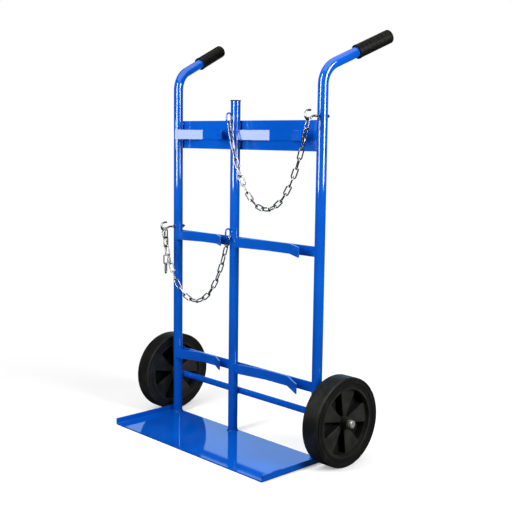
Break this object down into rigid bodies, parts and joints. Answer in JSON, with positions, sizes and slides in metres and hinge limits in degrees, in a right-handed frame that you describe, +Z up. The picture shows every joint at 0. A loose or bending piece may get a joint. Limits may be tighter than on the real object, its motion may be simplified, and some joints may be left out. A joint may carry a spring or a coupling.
{
  "type": "gas cylinder trolley",
  "caption": "Two-bay gas cylinder trolley: tubular frame, toe plate, bent cradles, retaining chains on hooks, swept-back handles and solid wheels on an axle.",
  "frame": {"origin": "on the floor, midway between the two side uprights and in the plane of their axes", "axes": "+X from the narrow bay to the wide bay, +Y back towards the handles, +Z up"},
  "size_m": [0.8566, 0.4652, 1.2349],
  "materials": {
    "blue_paint": "glossy blue powder coat on steel",
    "bright_zinc": "bright zinc plate on steel",
    "bright_steel": "bright steel",
    "tyre_rubber": "matt solid rubber",
    "hub_plastic": "matt black moulding",
    "bush_plastic": "plain bearing sleeve",
    "grip_rubber": "satin black grip",
    "cap_plastic": "black plastic plug"
  },
  "bodies": {
    "frame": {"left_upright": "blue_paint", "right_upright": "blue_paint", "centre_upright": "blue_paint", "back_plate": "blue_paint", "middle_bar": "blue_paint", "lower_bar": "blue_paint", "toe_plate": "blue_paint", "base_welds": "blue_paint", "axle_tube": "blue_paint", "upper_anchor": "blue_paint", "lower_anchor": "blue_paint", "upper_left_cradle": "blue_paint", "upper_right_cradle": "blue_paint", "middle_left_cradle": "blue_paint", "middle_right_cradle": "blue_paint", "lower_left_cradle": "blue_paint", "lower_right_cradle": "blue_paint", "upper_hook": "bright_zinc", "lower_hook": "bright_zinc", "hook_lock_nuts": "bright_zinc", "hook_washers": "bright_zinc", "hook_end_nuts": "bright_zinc", "axle_rod": "bright_steel", "inner_washers": "bright_steel", "outer_washers": "bright_steel", "left_axle_cap": "bright_steel", "right_axle_cap": "bright_steel", "left_grip": "grip_rubber", "right_grip": "grip_rubber", "centre_cap": "cap_plastic"},
    "left_wheel": {"left_tyre": "tyre_rubber", "left_hub": "hub_plastic", "left_bush": "bush_plastic"},
    "right_wheel": {"right_tyre": "tyre_rubber", "right_hub": "hub_plastic", "right_bush": "bush_plastic"},
    "upper_chain": {"upper_chain": "bright_zinc"},
    "lower_chain": {"lower_chain": "bright_zinc"},
    "chain_tail": {"chain_tail": "bright_zinc"}
  },
  "joints": [
    {"name": "left_wheel_spin", "type": "hinge", "parent": "frame", "child": "left_wheel", "pos_m": [-0.375, 0.0251, 0.13], "axis": [1, 0, 0], "continuous": true},
    {"name": "right_wheel_spin", "type": "hinge", "parent": "frame", "child": "right_wheel", "pos_m": [0.386, 0.0251, 0.13], "axis": [1, 0, 0], "continuous": true},
    {"name": "upper_chain_swing", "type": "hinge", "parent": "frame", "child": "upper_chain", "pos_m": [-0.04133, -0.02699, 0.97432], "axis": [-0.9963, 0.0837, -0.0194], "range_deg": [-4, 55]},
    {"name": "lower_chain_swing", "type": "hinge", "parent": "frame", "child": "lower_chain", "pos_m": [-0.03879, -0.02694, 0.62335], "axis": [-0.9916, -0.1272, 0.0245], "range_deg": [0, 55]},
    {"name": "chain_tail_swing", "type": "hinge", "parent": "frame", "child": "chain_tail", "pos_m": [-0.316, -0.0515, 0.6304], "axis": [-1, 0, 0], "range_deg": [-8, 0]}
  ]
}
